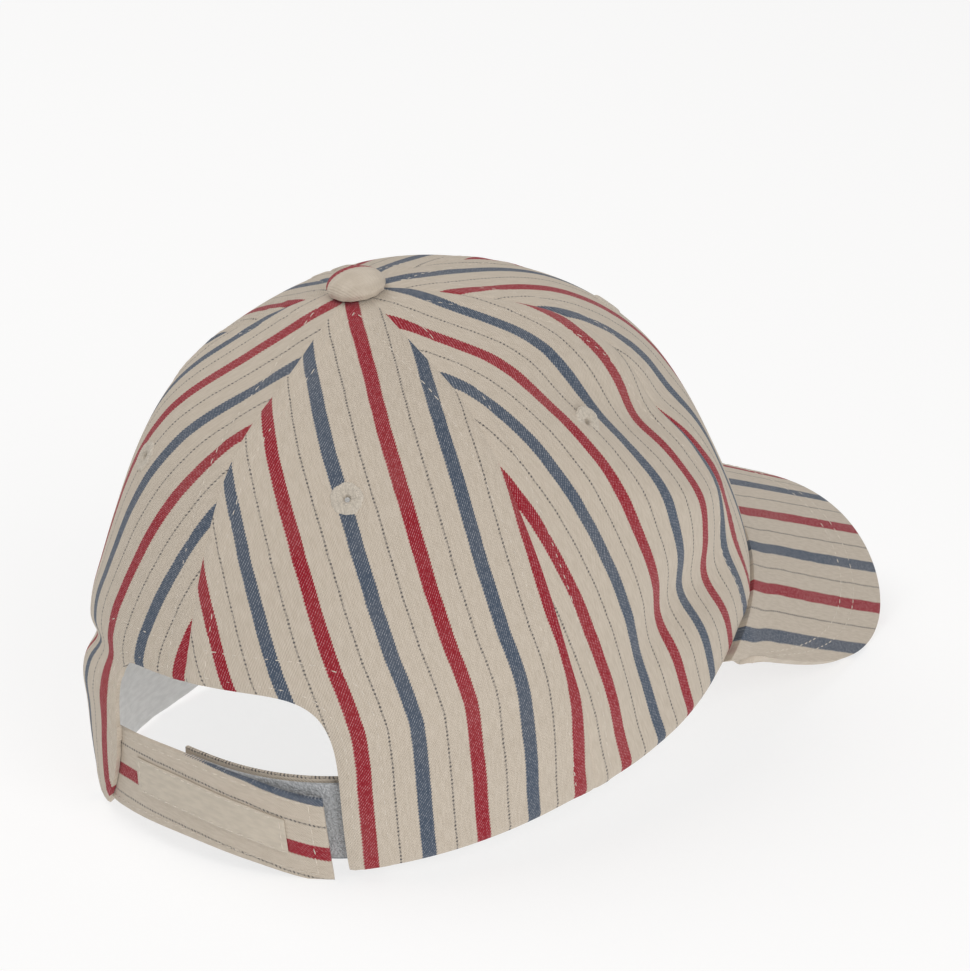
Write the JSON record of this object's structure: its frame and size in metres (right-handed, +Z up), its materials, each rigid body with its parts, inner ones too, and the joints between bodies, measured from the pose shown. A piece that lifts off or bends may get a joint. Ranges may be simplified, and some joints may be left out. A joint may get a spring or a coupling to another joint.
{
  "type": "child's baseball cap",
  "caption": "Child's panelled baseball cap of striped twill, with a curved peak, covered button, sewn eyelets and an arched back opening closed by a hook-and-loop strap.",
  "frame": {"origin": "centre of the bounding box on the surface that the cap stands on", "axes": "+Z up, -Y towards the peak, +X towards the wearer's left"},
  "size_m": [0.1462, 0.2448, 0.1293],
  "materials": {
    "striped_twill": "matt twill",
    "thread": "satin stitch",
    "band_cloth": "matt",
    "closure_tape": "brushed pile",
    "label_cloth": "plain weave"
  },
  "bodies": {
    "root": {"panel_back_left": "striped_twill", "panel_back_right": "striped_twill", "panel_side_right": "striped_twill", "panel_side_left": "striped_twill", "panel_front_right": "striped_twill", "panel_front_left": "striped_twill", "eyelet_back_left": "thread", "eyelet_back_right": "thread", "eyelet_side_right": "thread", "eyelet_side_left": "thread", "eyelet_front_right": "thread", "eyelet_front_left": "thread", "top_button": "striped_twill", "peak": "striped_twill", "sweatband": "band_cloth", "strap_outer": "striped_twill", "strap_inner": "striped_twill", "hook_tape": "closure_tape", "loop_tape": "closure_tape", "label": "label_cloth"}
  },
  "joints": []
}
